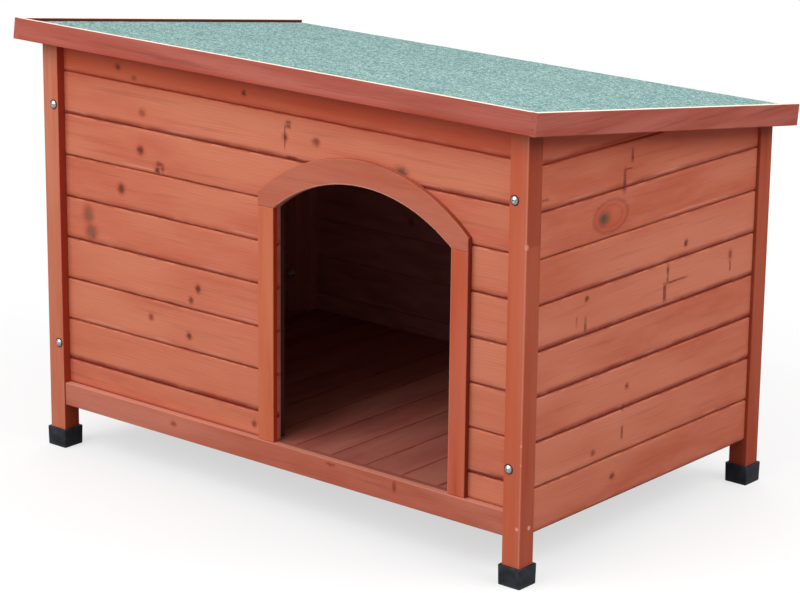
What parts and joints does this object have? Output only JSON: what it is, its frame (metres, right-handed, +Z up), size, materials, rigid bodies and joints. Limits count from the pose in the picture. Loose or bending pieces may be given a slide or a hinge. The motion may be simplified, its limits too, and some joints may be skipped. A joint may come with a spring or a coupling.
{
  "type": "dog house",
  "caption": "Raised wooden dog house with an arched doorway and a felted lean-to roof that hinges open at the back on slotted stays.",
  "frame": {"origin": "On the ground, at the centre of the plan outline of the closed house.", "axes": "+X runs along the front from left to right as seen from the front, +Y from the doorway side to the back, +Z up."},
  "size_m": [1.0474, 0.6822, 0.718],
  "materials": {
    "cladding": "satin stain",
    "posts": "satin stain",
    "fascia": "satin stain",
    "floor": "satin stain",
    "inner_frame": "planed, bare",
    "roof_board": "plywood",
    "roof_felt": "mineral granules on bitumen felt",
    "foot_caps": "moulded",
    "steel": "zinc plated"
  },
  "bodies": {
    "house": {"post_front_left": "posts", "foot_cap_front_left": "foot_caps", "post_front_right": "posts", "foot_cap_front_right": "foot_caps", "post_rear_left": "posts", "foot_cap_rear_left": "foot_caps", "post_rear_right": "posts", "foot_cap_rear_right": "foot_caps", "front_board_bottom": "cladding", "front_boards_left": "cladding", "front_boards_right": "cladding", "front_board_arch": "cladding", "front_boards_top": "cladding", "side_boards_left": "cladding", "side_boards_right": "cladding", "rear_boards": "cladding", "front_bottom_rail": "posts", "rear_bottom_rail": "posts", "rear_top_rail": "posts", "door_jamb_left": "posts", "door_jamb_right": "posts", "door_arch": "posts", "front_top_batten": "inner_frame", "rear_middle_cleat": "inner_frame", "front_cleat_left": "inner_frame", "front_cleat_right": "inner_frame", "rear_cleat_left": "inner_frame", "rear_cleat_right": "inner_frame", "door_stile_left": "inner_frame", "door_stile_right": "inner_frame", "side_stiles_left": "inner_frame", "side_stiles_right": "inner_frame", "side_bottom_rail_left": "inner_frame", "side_bottom_rail_right": "inner_frame", "floor_bearers": "inner_frame", "floor_boards": "floor", "post_bolts": "steel", "post_nuts": "steel", "hinge_wall_leaves": "steel", "hinge_pins": "steel", "hinge_wall_screws": "steel", "stay_studs": "steel"},
    "roof": {"roof_deck": "roof_board", "roof_felt": "roof_felt", "roof_fascia_front": "fascia", "roof_fascia_left": "fascia", "roof_fascia_right": "fascia", "roof_batten_left": "inner_frame", "roof_batten_right": "inner_frame", "roof_batten_front": "inner_frame", "roof_batten_rear": "inner_frame", "hinge_roof_leaves": "steel", "hinge_roof_screws": "steel", "stay_pivot_screws": "steel"},
    "left_stay": {"stay_arm_left": "steel"},
    "right_stay": {"stay_arm_right": "steel"}
  },
  "joints": [
    {"name": "roof_hinge", "type": "hinge", "parent": "house", "child": "roof", "pos_m": [0, 0.32412, 0.60397], "axis": [-1, 0, 0], "range_deg": [0, 60]},
    {"name": "left_stay_pivot", "type": "hinge", "parent": "roof", "child": "left_stay", "pos_m": [-0.4522, 0.12532, 0.62585], "axis": [-1, 0, 0], "range_deg": [-30, 0]},
    {"name": "right_stay_pivot", "type": "hinge", "parent": "roof", "child": "right_stay", "pos_m": [0.4522, 0.12532, 0.62585], "axis": [-1, 0, 0], "range_deg": [-30, 0]}
  ],
  "couplings": [
    {"joint": "left_stay_pivot", "follows": "roof_hinge", "ratio": -0.5},
    {"joint": "right_stay_pivot", "follows": "roof_hinge", "ratio": -0.5}
  ]
}
